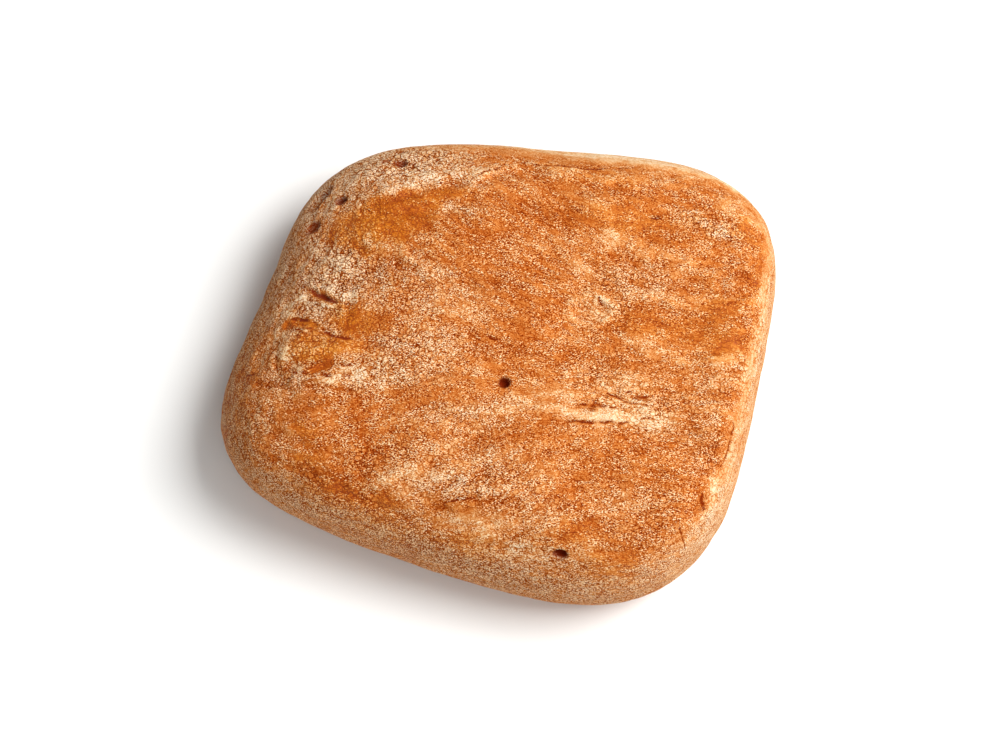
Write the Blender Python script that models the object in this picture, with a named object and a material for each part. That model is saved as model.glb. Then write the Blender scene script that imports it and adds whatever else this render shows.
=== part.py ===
"""A square ciabatta roll, modelled as one solid of baked dough.

The roll is a soft, slightly crooked square in plan. Its underside is flat where it lay on the baking
stone, its side bulges out above that, and its top is low, broad and uneven. The crust's own relief is
part of the solid: broad swellings, long shallow stretch folds, bubble holes, and the torn notch at the
back left corner.

Frame: metres, +Z up, +X along the long side. The origin is at the middle of the bounding box's
underside, on the surface that the roll lies on.
"""

import math

import bmesh
import bpy
import numpy as np
from mathutils import Matrix, Vector
from mathutils.bvhtree import BVHTree

MM = 0.001

# The plan, in millimetres: a crooked square, whose corners are the points where two straight sides
# would meet, each with the radius that rounds it off.
CORNERS = {
    "front_right": ((53.0, -50.5), 30.0),
    "back_right": ((51.5, 50.5), 22.0),
    "back_left": ((-48.0, 34.5), 29.0),
    "front_left": ((-54.0, -38.5), 15.5),
}
# How far each side swells out between its corners, going round from the front right corner.
BOWS = {"right": 0.0, "back": 2.4, "left": -1.0, "front": 3.3}

# The side's profile, one value for each side of the roll. The widest contour is low, and above it
# the crust turns over at the shoulder: a wide shoulder rolls off softly, a narrow one is an edge.
WIDEST_HEIGHT = {"right": 13.0, "back": 14.0, "left": 12.5, "front": 13.5}
SHOULDER_HEIGHT = {"right": 34.5, "back": 33.5, "left": 31.5, "front": 33.0}
SHOULDER_WIDTH = {"right": 10.0, "back": 15.0, "left": 24.0, "front": 17.0}
TUCK_UNDER = {"right": 8.0, "back": 8.5, "left": 7.0, "front": 8.0}
# 2 makes a round shoulder, and a higher figure makes a squarer one.
SHOULDER_SQUARENESS = {"right": 2.9, "back": 2.4, "left": 2.15, "front": 2.35}
TUCK_SQUARENESS = 2.1
DOME_HEIGHT = 3.0

# Relief of the crust: length of one swelling or fold along the fold bearing, its breadth, its height,
# and the seed of the pattern. A fold's ridge stands above the fold level, and its crease below it.
SWELLINGS = ((34.0, 30.0, 1.5, 11), (15.0, 12.0, 0.55, 12))
FOLDS = ((26.0, 8.0, 0.8, 13), (15.0, 5.5, 0.4, 14))
FOLD_LEVEL = 0.3
FOLD_BEARING = math.radians(11.0)
WALL_RELIEF = 0.35
RELIEF_FREE_HEIGHT = 6.0

# Holes that gas bubbles and tears left in the crust: where each lies in plan, then its length, width
# and depth, and the bearing of its length from +X in degrees.
HOLES = {
    "bubble_middle": ((3.7, -11.2), (2.3, 2.1, 1.9), 20.0),
    "bubble_front": ((21.9, -40.8), (3.1, 2.2, 1.7), 12.0),
    "bubble_corner": ((-38.5, 19.6), (2.9, 2.0, 1.7), 14.0),
    "burst_blister": ((-42.6, 13.6), (3.8, 3.0, 1.0), 30.0),
    "bubble_back": ((-28.5, 29.7), (2.6, 2.0, 1.0), 0.0),
    "bubble_back_small": ((-31.7, 29.6), (2.0, 1.5, 0.9), 40.0),
    "slit_left": ((-36.7, -2.0), (6.6, 1.2, 1.6), -17.0),
    "furrow_left": ((-36.8, -8.6), (8.4, 2.2, 0.7), -20.0),
    "notch_tear": ((-42.8, 22.6), (9.0, 3.4, 1.5), 38.0),
}

# The mesh starts as a box. Its top has this many cells a side, and its walls have this many rows.
# The top's edge lies where the shoulder's superellipse has come to this angle.
TOP_CELLS = 46
WALL_ROWS = 13
TOP_EDGE_ANGLE = math.radians(40.0)
NEAR = 1e-3
CUTTER_SEGMENTS = 14
CUTTER_RINGS = 8

# The crooked square is softened by keeping only its slowest waves, as dough has no true arcs.
PLAN_HARMONICS = 6
PLAN_SAMPLES = 720
ARC_SAMPLES = 40

# Gradient noise repeats after this many cells, and the gain brings its range to about -1 to 1.
NOISE_TABLE = 32
NOISE_GAIN = 1.6

CRUST_COLOUR = (0.62, 0.23, 0.07, 1.0)
CRUST_ROUGHNESS = 0.75


def unit(vectors):
    return vectors / np.linalg.norm(vectors, axis=-1, keepdims=True)


def crooked_square():
    """Points of the plan: an arc at each corner, joined by sides that swell by their bow."""
    places = [np.array(place) for place, _ in CORNERS.values()]
    radii = [radius for _, radius in CORNERS.values()]
    arcs = []
    for k, (place, radius) in enumerate(zip(places, radii)):
        before = unit(places[k - 1] - place)
        after = unit(places[(k + 1) % 4] - place)
        half = math.acos(before @ after) / 2
        centre = place + unit(before + after) * radius / math.sin(half)
        first = place + before * radius / math.tan(half) - centre
        last = place + after * radius / math.tan(half) - centre
        start = math.atan2(first[1], first[0])
        sweep = (math.atan2(last[1], last[0]) - start) % (2 * math.pi)
        angle = start + sweep * np.linspace(0, 1, ARC_SAMPLES)
        arcs.append(centre + radius * np.stack([np.cos(angle), np.sin(angle)], 1))
    pieces = []
    for k, bow in enumerate(BOWS.values()):
        start, end = arcs[k][-1], arcs[(k + 1) % 4][0]
        along = np.linspace(0, 1, ARC_SAMPLES + 2)[1:-1, None]
        outward = unit(np.array([end[1] - start[1], start[0] - end[0]]))
        pieces.append(arcs[k])
        pieces.append(start + (end - start) * along + outward * bow * np.sin(math.pi * along) ** 2)
    return np.concatenate(pieces)


class Plan:
    """The widest contour, as a closed curve that is followed by its turns: 0 is the middle of the
    front right corner's arc, 1 the back right corner's, and so on round to 4."""

    def __init__(self):
        points = crooked_square()
        steps = np.linalg.norm(np.roll(points, -1, 0) - points, axis=1)
        walked = np.concatenate([[0.0], np.cumsum(steps)])
        total = walked[-1]
        even = np.arange(PLAN_SAMPLES) * total / PLAN_SAMPLES
        closed = np.concatenate([points, points[:1]])
        east, north = (np.interp(even, walked, closed[:, axis]) for axis in (0, 1))
        waves = np.fft.fft(east + 1j * north)
        waves[PLAN_HARMONICS + 1 : -PLAN_HARMONICS] = 0
        smooth = np.fft.ifft(waves)
        slope = np.fft.ifft(waves * np.fft.fftfreq(PLAN_SAMPLES) * 2j * math.pi)
        normal = -1j * slope / np.abs(slope)
        self.table = np.stack([smooth.real, smooth.imag, normal.real, normal.imag])
        middles = [walked[k * 2 * ARC_SAMPLES + ARC_SAMPLES // 2] for k in range(4)]
        self.corner_samples = np.array([*middles, middles[0] + total]) * PLAN_SAMPLES / total

    def at(self, turns):
        """(points, outward normals) of the contour at these turns."""
        sample = np.interp(turns % 4.0, np.arange(5), self.corner_samples)
        rows = [np.interp(sample, np.arange(PLAN_SAMPLES), row, period=PLAN_SAMPLES) for row in self.table]
        return np.stack(rows[:2], -1), unit(np.stack(rows[2:], -1))

    def beyond(self, points):
        """(points, outward normals) of the contour where the rays from the middle through these points
        meet it."""
        bearings = np.arctan2(self.table[1], self.table[0])
        order = np.argsort(bearings)
        bearing = np.arctan2(points[:, 1], points[:, 0])
        rows = [np.interp(bearing, bearings[order], row[order], period=2 * math.pi) for row in self.table]
        return np.stack(rows[:2], -1), unit(np.stack(rows[2:], -1))


def by_side(values, normal):
    """A value for each side of the roll, blended by the way that the side faces."""
    east, north = normal[..., 0], normal[..., 1]
    return (
        values["right"] * np.maximum(east, 0) ** 2
        + values["left"] * np.maximum(-east, 0) ** 2
        + values["back"] * np.maximum(north, 0) ** 2
        + values["front"] * np.maximum(-north, 0) ** 2
    )


def level(heights, normal, share):
    """A height that differs from side to side, and levels out to their mean towards the middle."""
    mean = sum(heights.values()) / len(heights)
    return mean + (by_side(heights, normal) - mean) * share**2


def above_contour(rim, normal, share, rise):
    """Points of the upper surface, this share of the way from the middle to the rim. Rise is how far
    the surface has turned up, 0 at the widest contour and 1 at the shoulder."""
    low = level(WIDEST_HEIGHT, normal, share)
    high = level(SHOULDER_HEIGHT, normal, share)
    height = low + (high - low) * rise + DOME_HEIGHT * (1 - share**2) ** 2
    return np.stack([rim[:, 0] * share, rim[:, 1] * share, height], -1)


def wall(plan, turns, down):
    """Points of the roll's side. Down runs from 1 at the edge of the top to -1 at the stone.

    Above the widest contour the profile is a superellipse as wide as the shoulder, and below it a
    second one tucks under."""
    rim, normal = plan.at(turns)
    angle = TOP_EDGE_ANGLE - (TOP_EDGE_ANGLE + math.pi / 2) * (1 - down) / 2
    cosine, sine = np.abs(np.cos(angle)), np.abs(np.sin(angle))
    upper, lower = 2 / by_side(SHOULDER_SQUARENESS, normal), 2 / TUCK_SQUARENESS
    reach = np.sum(rim * normal, -1)
    over = 1 - by_side(SHOULDER_WIDTH, normal) * (1 - cosine**upper) / reach
    under = 1 - by_side(TUCK_UNDER, normal) * (1 - cosine**lower) / reach
    turned_in = above_contour(rim, normal, over, sine**upper)
    height = level(WIDEST_HEIGHT, normal, 1.0) * (1 - sine**lower)
    tucked = np.stack([rim[:, 0] * under, rim[:, 1] * under, height], -1)
    return np.where(angle[:, None] >= 0, turned_in, tucked)


def top(plan, across, deep):
    """Points of the roll's top, for places from -1 to 1 in each direction of the box's top.

    The four edges are carried to the wall's upper edge, and the places between them are blended from
    those edges. The height then follows from the distance to the rim, as it does on the wall."""
    ones = np.ones_like(across)
    east, west = (1 + across)[:, None] / 2, (1 - across)[:, None] / 2
    north, south = (1 + deep)[:, None] / 2, (1 - deep)[:, None] / 2
    corners = wall(plan, np.arange(4.0), np.ones(4))
    place = (
        east * wall(plan, (1 + deep) / 2, ones)
        + north * wall(plan, 1 + (1 - across) / 2, ones)
        + west * wall(plan, 2 + (1 - deep) / 2, ones)
        + south * wall(plan, 3 + (1 + across) / 2, ones)
        - east * south * corners[0]
        - east * north * corners[1]
        - west * north * corners[2]
        - west * south * corners[3]
    )[:, :2]
    rim, normal = plan.beyond(place)
    share = np.linalg.norm(place, axis=1) / np.linalg.norm(rim, axis=1)
    inset = (1 - share) * np.sum(rim * normal, -1)
    squareness = by_side(SHOULDER_SQUARENESS, normal)
    unturned = np.clip(1 - inset / by_side(SHOULDER_WIDTH, normal), 0, 1)
    return above_contour(rim, normal, share, (1 - unturned**squareness) ** (1 / squareness))


def smooth_form(box_points):
    """Carries points of the box's surface to the roll's smooth form."""
    plan = Plan()
    across, deep, up = box_points.T
    turns = np.select(
        [across >= 1, deep >= 1, across <= -1],
        [(1 + deep) / 2, 1 + (1 - across) / 2, 2 + (1 - deep) / 2],
        3 + (1 + across) / 2,
    )
    on_top = (up >= 1)[:, None]
    return np.where(on_top, top(plan, across, deep), wall(plan, turns, up))


def noise(points, seed):
    """Gradient noise, from about -1 to 1, with cells one unit wide and a seeded table of slopes."""
    slopes = unit(np.random.default_rng(seed).normal(size=(NOISE_TABLE, NOISE_TABLE, NOISE_TABLE, 3)))
    cell = np.floor(points).astype(int)
    inside = points - cell
    fade = inside**3 * (inside * (inside * 6 - 15) + 10)
    total = np.zeros(len(points))
    for corner in np.ndindex(2, 2, 2):
        slope = slopes[tuple(((cell + corner) % NOISE_TABLE).T)]
        weight = np.prod(np.where(corner, fade, 1 - fade), -1)
        total += weight * np.sum(slope * (inside - corner), -1)
    return total * NOISE_GAIN


def relief(points, normals):
    """Height of the crust's relief at these points of the smooth form: broad swellings, and stretch
    folds, which are creases between soft ridges that run along the fold bearing. The wall has less of
    it than the top, and the underside has none."""
    cosine, sine = math.cos(FOLD_BEARING), math.sin(FOLD_BEARING)
    along = points @ [cosine, sine, 0]
    across = points @ [-sine, cosine, 0]
    lying = np.stack([along, across, points[:, 2]], -1)
    height = np.zeros(len(points))
    for length, breadth, amount, seed in SWELLINGS:
        height += amount * noise(lying / [length, breadth, breadth], seed)
    for length, breadth, amount, seed in FOLDS:
        height += amount * (np.abs(noise(lying / [length, breadth, breadth], seed)) - FOLD_LEVEL)
    rising = np.clip(points[:, 2] / RELIEF_FREE_HEIGHT, 0, 1)
    facing_up = WALL_RELIEF + (1 - WALL_RELIEF) * np.maximum(normals[:, 2], 0) ** 2
    return height * facing_up * rising**2 * (3 - 2 * rising)


def rises(edge):
    """Whether an edge of the box stands up, rather than lying level."""
    low, high = sorted(vertex.co.z for vertex in edge.verts)
    return high - low > NEAR


def underneath(vertex):
    return vertex.co.z < NEAR - 1 and max(abs(vertex.co.x), abs(vertex.co.y)) < 1 - NEAR


def box_mesh():
    """A cube from -1 to 1, with its top and walls cut into cells and its underside one face."""
    box = bmesh.new()
    bmesh.ops.create_cube(box, size=2.0)
    level_edges = [edge for edge in box.edges if not rises(edge)]
    bmesh.ops.subdivide_edges(box, edges=level_edges, cuts=TOP_CELLS - 1, use_grid_fill=True)
    upright_edges = [edge for edge in box.edges if rises(edge)]
    bmesh.ops.subdivide_edges(box, edges=upright_edges, cuts=WALL_ROWS - 1, use_grid_fill=True)
    bmesh.ops.delete(box, geom=[v for v in box.verts if underneath(v)], context="VERTS")
    bmesh.ops.holes_fill(box, edges=[edge for edge in box.edges if edge.is_boundary], sides=0)
    bmesh.ops.recalc_face_normals(box, faces=box.faces)
    return box


def place_vertices(mesh, points):
    """Writes these points to the mesh's vertices."""
    mesh.vertices.foreach_set("co", points.astype(np.float32).ravel())
    mesh.update()


def shape_roll(mesh):
    """Moves the box's vertices to the roll's surface, and its frame to the middle of the underside."""
    flat = np.empty(len(mesh.vertices) * 3, np.float32)
    mesh.vertices.foreach_get("co", flat)
    points = smooth_form(flat.reshape(-1, 3).astype(float))
    place_vertices(mesh, points)
    normals = np.empty(len(points) * 3, np.float32)
    mesh.vertex_normals.foreach_get("vector", normals)
    normals = normals.reshape(-1, 3)
    points += normals * relief(points, normals)[:, None]
    low, high = points.min(0), points.max(0)
    points -= [(low[0] + high[0]) / 2, (low[1] + high[1]) / 2, low[2]]
    place_vertices(mesh, points * MM)


def add_hole(roll_tree, cutters, name, place, size, bearing):
    """An egg-shaped cutter whose middle is on the crust at this place, with its depth into the dough."""
    above = Vector((place[0] * MM, place[1] * MM, 1.0))
    point, normal, _, _ = roll_tree.ray_cast(above, Vector((0, 0, -1)))
    heading = Vector((math.cos(math.radians(bearing)), math.sin(math.radians(bearing)), 0))
    across = normal.cross(heading).normalized()
    turn = Matrix([across.cross(normal), across, normal]).transposed().to_4x4()
    bpy.ops.mesh.primitive_uv_sphere_add(segments=CUTTER_SEGMENTS, ring_count=CUTTER_RINGS)
    cutter = bpy.context.object
    cutter.name = name
    half_size = Matrix.Diagonal((size[0] / 2 * MM, size[1] / 2 * MM, size[2] * MM, 1.0))
    cutter.data.transform(half_size)
    cutter.matrix_world = Matrix.Translation(point) @ turn
    cutter.display_type = "WIRE"
    cutter.hide_render = True
    for collection in list(cutter.users_collection):
        collection.objects.unlink(cutter)
    cutters.objects.link(cutter)


def crust_material():
    """Baked wheat crust: a dull, dry brown."""
    material = bpy.data.materials.new("baked_crust")
    material.use_nodes = True
    shader = material.node_tree.nodes["Principled BSDF"]
    shader.inputs["Base Color"].default_value = CRUST_COLOUR
    shader.inputs["Roughness"].default_value = CRUST_ROUGHNESS
    shader.inputs["Metallic"].default_value = 0.0
    return material


def main():
    for obj in list(bpy.data.objects):
        bpy.data.objects.remove(obj)
    model = bpy.data.collections.new("ciabatta_roll_model")
    cutters = bpy.data.collections.new("cutters")
    bpy.context.scene.collection.children.link(model)
    bpy.context.scene.collection.children.link(cutters)

    mesh = bpy.data.meshes.new("ciabatta_roll")
    box = box_mesh()
    box.to_mesh(mesh)
    box.free()
    shape_roll(mesh)
    mesh.materials.append(crust_material())
    mesh.shade_smooth()
    roll = bpy.data.objects.new("ciabatta_roll", mesh)
    model.objects.link(roll)

    tree = BVHTree.FromPolygons(
        [v.co for v in mesh.vertices], [p.vertices for p in mesh.polygons]
    )
    for name, (place, size, bearing) in HOLES.items():
        add_hole(tree, cutters, name, place, size, bearing)
    holes = roll.modifiers.new("holes", "BOOLEAN")
    holes.operation = "DIFFERENCE"
    holes.operand_type = "COLLECTION"
    holes.collection = cutters
    holes.solver = "EXACT"


if __name__ == "__main__":
    main()
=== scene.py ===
"""The looks of a square ciabatta roll: a floured, crackled wheat crust with bubble holes, torn slits and
stretch folds, lying on a pale floor.

Lengths are in millimetres in the roll's own frame, +X along its longer side, -Y towards the camera and
+Z up, until a mesh is written in metres.
"""

import math

import bpy
import numpy as np
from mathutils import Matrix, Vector


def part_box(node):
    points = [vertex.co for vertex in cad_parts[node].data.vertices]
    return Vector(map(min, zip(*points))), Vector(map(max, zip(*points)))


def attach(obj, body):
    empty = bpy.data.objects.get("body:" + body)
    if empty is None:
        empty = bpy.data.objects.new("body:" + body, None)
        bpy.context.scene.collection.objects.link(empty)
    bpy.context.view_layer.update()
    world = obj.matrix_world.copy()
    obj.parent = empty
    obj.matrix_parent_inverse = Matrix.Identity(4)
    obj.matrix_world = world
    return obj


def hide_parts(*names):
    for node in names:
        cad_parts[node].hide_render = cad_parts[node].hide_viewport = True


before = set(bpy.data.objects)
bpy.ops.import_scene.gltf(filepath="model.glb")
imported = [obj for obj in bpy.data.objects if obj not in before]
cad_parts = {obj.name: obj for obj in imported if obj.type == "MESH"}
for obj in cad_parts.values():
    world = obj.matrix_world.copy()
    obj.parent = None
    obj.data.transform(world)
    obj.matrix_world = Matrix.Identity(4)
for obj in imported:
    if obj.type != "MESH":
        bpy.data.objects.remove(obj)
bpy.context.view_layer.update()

MM = 0.001

# --- Form: the same driving sizes as the solid that the crust replaces ---------------------------------

# The plan is a crooked square: places where its sides would meet, and the radius of each corner.
CORNERS = {
    "front_right": ((53.0, -50.5), 30.0),
    "back_right": ((51.5, 50.5), 22.0),
    "back_left": ((-48.0, 34.5), 29.0),
    "front_left": ((-54.0, -38.5), 15.5),
}
BOWS = {"right": 0.0, "back": 2.4, "left": -1.0, "front": 3.3}

WIDEST_HEIGHT = {"right": 13.0, "back": 14.0, "left": 12.5, "front": 13.5}
SHOULDER_HEIGHT = {"right": 34.5, "back": 33.5, "left": 31.5, "front": 33.0}
SHOULDER_WIDTH = {"right": 10.0, "back": 15.0, "left": 24.0, "front": 17.0}
SHOULDER_SQUARENESS = {"right": 2.9, "back": 2.4, "left": 2.15, "front": 2.35}
TUCK_UNDER = {"right": 8.0, "back": 8.5, "left": 7.0, "front": 8.0}
TUCK_SQUARENESS = 2.1
DOME_HEIGHT = 3.0

# Length along the fold bearing, breadth, height and seed of each layer of relief. It is lower on the
# wall, and it rises from the floor to its full height where it is free.
SWELLINGS = ((34.0, 30.0, 1.5, 11), (15.0, 12.0, 0.55, 12))
FOLDS = ((26.0, 8.0, 0.8, 13), (15.0, 5.5, 0.4, 14))
FOLD_LEVEL = 0.3
FOLD_BEARING = math.radians(11.0)
WALL_RELIEF = 0.35
RELIEF_FREE_HEIGHT = 6.0

# Waves kept in the plan, points along it, and points of each arc and each side before it is smoothed.
PLAN_HARMONICS = 6
PLAN_SAMPLES = 720
ARC_SAMPLES = 40

# Cells after which the noise repeats, what brings it to about -1 to 1, and a number too small to matter,
# which keeps divisors from being 0.
NOISE_TABLE = 32
NOISE_GAIN = 1.6
TINY = 1e-6

# --- Detail that only the looks have ------------------------------------------------------------------

# The dough was stretched along lines that fan out towards the roll's left from a middle line, and that
# slow noise bends along and across.
FAN_START = 18.0
FAN_LENGTH = 45.0
FAN_MIDDLE = -14.0
FLOW_BEND = 3.5
FLOW_BEND_LENGTH = 30.0
FLOW_BEND_SEEDS = (31, 32)

# The skin's own relief, in the same terms: fine stretch folds, rounded blisters, grain of dried flour,
# and crags where the skin is rough.
FINE_FOLDS = ((18.0, 4.6, 0.30, 21), (10.0, 2.4, 0.24, 22), (5.0, 1.3, 0.15, 26))
BLISTERS = ((3.2, 2.4, 0.13, 23), (1.6, 1.3, 0.07, 24))
FLOUR_GRAIN = ((0.9, 0.8, 0.04, 25),)
CRAGS = ((3.4, 2.2, 0.40, 33), (1.9, 1.3, 0.28, 34))

# Ripples of the wall: height up the wall, length along it, height and seed.
WALL_FOLDS = ((1.4, 9.0, 0.14, 27), (2.6, 5.0, 0.16, 28))

# Shares of that relief: blisters that bare amber skin lacks, flour grain where there is no patch of
# flour, crags of the roughest skin, and relief that the smooth cut sides lack.
AMBER_SMOOTHNESS = 0.7
BARE_GRAIN = 0.4
CRAG_SHARE = 0.8
CUT_SIDE_SMOOTHNESS = 0.6

# Holes: place in plan, then length, width and depth, then bearing in degrees, and how dark it is painted
# inside: partly the crust's own brown, partly painted shade.
HOLES = {
    "bubble_middle": ((3.7, -11.2), (2.1, 1.9, 1.8), 20.0, 1.0),
    "bubble_front": ((21.9, -40.8), (2.8, 2.0, 1.6), 12.0, 1.0),
    "bubble_corner": ((-38.5, 19.6), (2.7, 1.8, 1.5), 14.0, 0.9),
    "burst_blister": ((-42.6, 13.6), (3.4, 2.6, 0.6), 30.0, 0.8),
    "bubble_back": ((-28.5, 29.7), (2.6, 2.0, 1.0), 0.0, 0.8),
    "bubble_back_small": ((-31.7, 29.6), (1.8, 1.4, 0.6), 40.0, 0.7),
    "slit_left": ((-35.5, -1.8), (5.0, 1.0, 0.6), -14.0, 0.95),
    "notch_tear": ((-43.0, 20.6), (6.6, 3.0, 1.2), 40.0, 0.45),
}

# Places where the flour has broken off bare amber skin, given as the holes are. The rim round the slit is
# no bare skin: it is painted shade beside the slit, drawn the same way.
BARE_SPOTS = {
    "furrow_left": ((-38.0, -8.1), (6.8, 2.0, 0.5), -10.0, 1.0),
    "furrow_end": ((-41.9, -8.6), (2.0, 1.8, 0.3), 0.0, 0.8),
    "furrow_low": ((-32.4, -16.5), (4.8, 1.5, 0.3), 30.0, 0.9),
    # painted shade: a browner rim round the slit
    "slit_rim_shade": ((-36.0, -1.6), (7.4, 2.4, 0.1), -14.0, 0.5),
}

# A hole's ragged border: reach, width and seed of its noise. Its dark inside, partly painted shade, fades
# out between two shares of its radius.
HOLE_RAG = ((0.10, 0.9, 41),)
HOLE_FADE = (1.35, 0.85)

# Cracks in the skin: the two ends in plan, the sag of the line between them, its width and its depth.
CRACKS = {
    "wrinkle_fork": ((19.8, -10.8), (26.8, -10.8), 0.0, 0.42, 0.225),
    "wrinkle_fork_left": ((18.4, -12.1), (22.4, -11.4), 0.0, 0.32, 0.15),
    "wrinkle_curved": ((23.0, -8.2), (32.8, -8.5), 0.8, 0.40, 0.225),
    "wrinkle_high": ((28.4, -8.0), (32.6, -6.6), 0.1, 0.32, 0.15),
    "wrinkle_thin": ((25.2, -7.5), (28.0, -6.9), 0.0, 0.28, 0.10),
    "wrinkle_low": ((16.6, -15.9), (29.0, -13.0), 0.2, 0.40, 0.20),
    "wrinkle_dot": ((20.6, -12.7), (22.0, -12.4), 0.0, 0.40, 0.125),
    "wrinkle_short": ((30.7, -11.7), (33.6, -11.0), 0.1, 0.40, 0.15),
    "curl": ((17.2, 10.6), (19.2, 8.9), 0.3, 0.40, 0.10),
    "scar_middle": ((-2.4, -2.7), (0.4, -3.2), 0.2, 0.40, 0.15),
    "mark_back": ((23.5, 29.2), (25.4, 29.9), 0.1, 0.60, 0.20),
    "slit_tail": ((-39.8, -0.3), (-34.6, -2.0), 0.0, 0.80, 0.25),
    "furrow_rim": ((-40.0, -9.3), (-34.4, -8.9), 0.2, 0.34, 0.125),
    "furrow_crest": ((-41.6, -7.4), (-35.2, -7.9), -0.5, 0.34, 0.125),
    "furrow_fold": ((-34.4, -8.9), (-27.0, -10.1), 0.1, 0.60, 0.175),
    "dash_far_left": ((-37.8, -18.4), (-34.7, -18.1), 0.0, 0.55, 0.175),
    "dash_left": ((-31.8, -17.8), (-28.8, -17.4), 0.0, 0.60, 0.175),
    "dash_right": ((-27.9, -17.1), (-26.1, -16.9), 0.0, 0.50, 0.15),
    "dash_upper": ((-29.1, -15.2), (-26.5, -14.8), 0.0, 0.45, 0.15),
    "crack_left_end": ((-48.0, -19.4), (-43.6, -19.5), 0.1, 0.30, 0.15),
    "crack_front": ((-2.6, -37.0), (3.6, -34.8), -0.3, 0.28, 0.125),
    "crease_back": ((-13.6, 28.0), (-4.6, 35.4), -0.6, 0.24, 0.125),
    "crease_back_right": ((-4.6, 35.4), (17.0, 39.7), 1.2, 0.24, 0.10),
    "edge_mark": ((46.0, -22.8), (46.8, -26.0), 0.2, 0.40, 0.15),
    "edge_crack": ((48.6, -7.4), (48.0, -17.0), -0.5, 0.28, 0.175),
    "edge_tear": ((42.4, -29.0), (45.4, -33.4), 0.4, 0.28, 0.125),
}

# Reach, width and seed of the noise that makes the cracks waver, and of the noise that closes them here
# and there, between two of its levels.
CRACK_WAVER = ((0.35, 2.2, 42), (0.16, 0.9, 43))
CRACK_BREAKS = ((1.0, 1.5, 47),)
CRACK_BREAK_LEVELS = (-0.45, 0.05)

# A crack's bottom fades out over this many half widths, and a point that is beside no crack counts as
# CRACK_REACH of them away. The raised lips beside a crack, and the strip of skin that the material may
# draw torn, fade out between two distances from it. The strip also fades out towards the crack's ends.
CRACK_FADE = 2.2
LIP_FADE = (1.4, 0.5)
TEAR_FADE = (1.0, 0.5)
TEAR_END = 0.4
LIP_HEIGHT = 0.10
CRACK_REACH = 9.0

# Folds of the skin, each a crest beside a trough: ends in plan, sag, breadth and height.
FOLD_LINES = {
    "shoulder_diagonal": ((-34.0, 13.8), (-12.0, 4.4), -0.8, 1.5, 0.35),
    "shoulder_upper": ((-42.0, 9.0), (-29.0, 3.6), 0.8, 1.3, 0.25),
    "slit_upper": ((-43.5, 1.4), (-35.0, -0.6), 0.4, 0.9, 0.05),
    "slit_lower": ((-40.0, -3.6), (-31.0, -4.0), -0.6, 0.9, 0.20),
    "left_ridge": ((-43.0, -16.6), (-19.0, -12.2), -0.8, 1.3, 0.40),
    "left_low_ridge": ((-46.0, -19.6), (-24.0, -17.9), 0.6, 1.0, 0.30),
    "corner_edge": ((-33.0, 19.6), (-9.0, 31.6), -1.4, 1.4, 0.40),
    "back_left": ((-18.0, 24.6), (2.0, 27.6), -1.0, 1.2, 0.25),
    "front_left_sweep": ((-19.0, -37.0), (-5.4, -26.2), 1.4, 1.4, 0.40),
    "front_sweep": ((-11.0, -34.6), (9.0, -24.2), 1.2, 1.5, 0.35),
    "front_ledge": ((-5.0, -37.4), (12.2, -31.4), -0.9, 1.4, 0.35),
    "deep_band_upper": ((21.0, 10.8), (42.0, 11.6), -2.2, 1.5, 0.35),
    "deep_band_lower": ((23.0, 3.8), (46.0, 3.2), 1.6, 1.6, 0.30),
    "wrinkle_ridge": ((14.0, -14.6), (33.0, -11.0), 0.4, 1.2, 0.30),
    "wrinkle_upper": ((20.0, -7.0), (38.0, -3.6), -0.7, 1.1, 0.30),
    "right_edge_back": ((47.6, 24.0), (48.3, -6.0), -1.0, 2.2, 0.30),
    "right_edge_front": ((48.3, -6.0), (45.6, -34.0), -1.8, 1.8, 0.22),
    "back_crease_left": ((-14.0, 27.6), (-4.0, 35.0), -0.6, 1.4, 0.40),
    "back_crease": ((-4.0, 35.0), (30.0, 39.6), 2.0, 1.6, 0.45),
    "back_crease_right": ((30.0, 39.6), (47.0, 33.6), 1.6, 1.5, 0.35),
    "low_middle": ((-8.0, -18.6), (10.0, -14.8), 0.8, 1.2, 0.25),
    "low_right": ((12.0, -22.6), (30.0, -18.4), -1.0, 1.3, 0.15),
}

# Rings that burst bubbles left in the skin: place in plan, radii along and across, and height.
RINGS = {
    "curl": ((16.6, 7.6), 4.4, 3.0, 0.35),
    "ring_right": ((43.6, 19.4), 4.6, 3.8, 0.30),
    "ring_back": ((29.0, 21.6), 4.0, 2.4, 0.15),
}

# Reach, width and seed of the noise that makes the folds waver, and of the noise that makes them higher
# and lower around FOLD_STRENGTH of their named height.
FOLD_WAVER = ((1.4, 6.0, 44), (0.5, 2.0, 45))
FOLD_UNEVENNESS = ((0.6, 4.0, 46),)
FOLD_STRENGTH = 0.75

# A trough beside a fold or a ring: its depth and its distance from the crest, in terms of the crest's.
FOLD_TROUGH = (0.7, 1.5)
RING_TROUGH = (0.6, 1.2)
RING_BREADTH = 0.7
RING_TROUGH_BREADTH = 0.8

# Folds and cracks fade out between these upward parts of the normal, towards the wall.
WALL_FADE = (0.1, 0.4)

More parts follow.
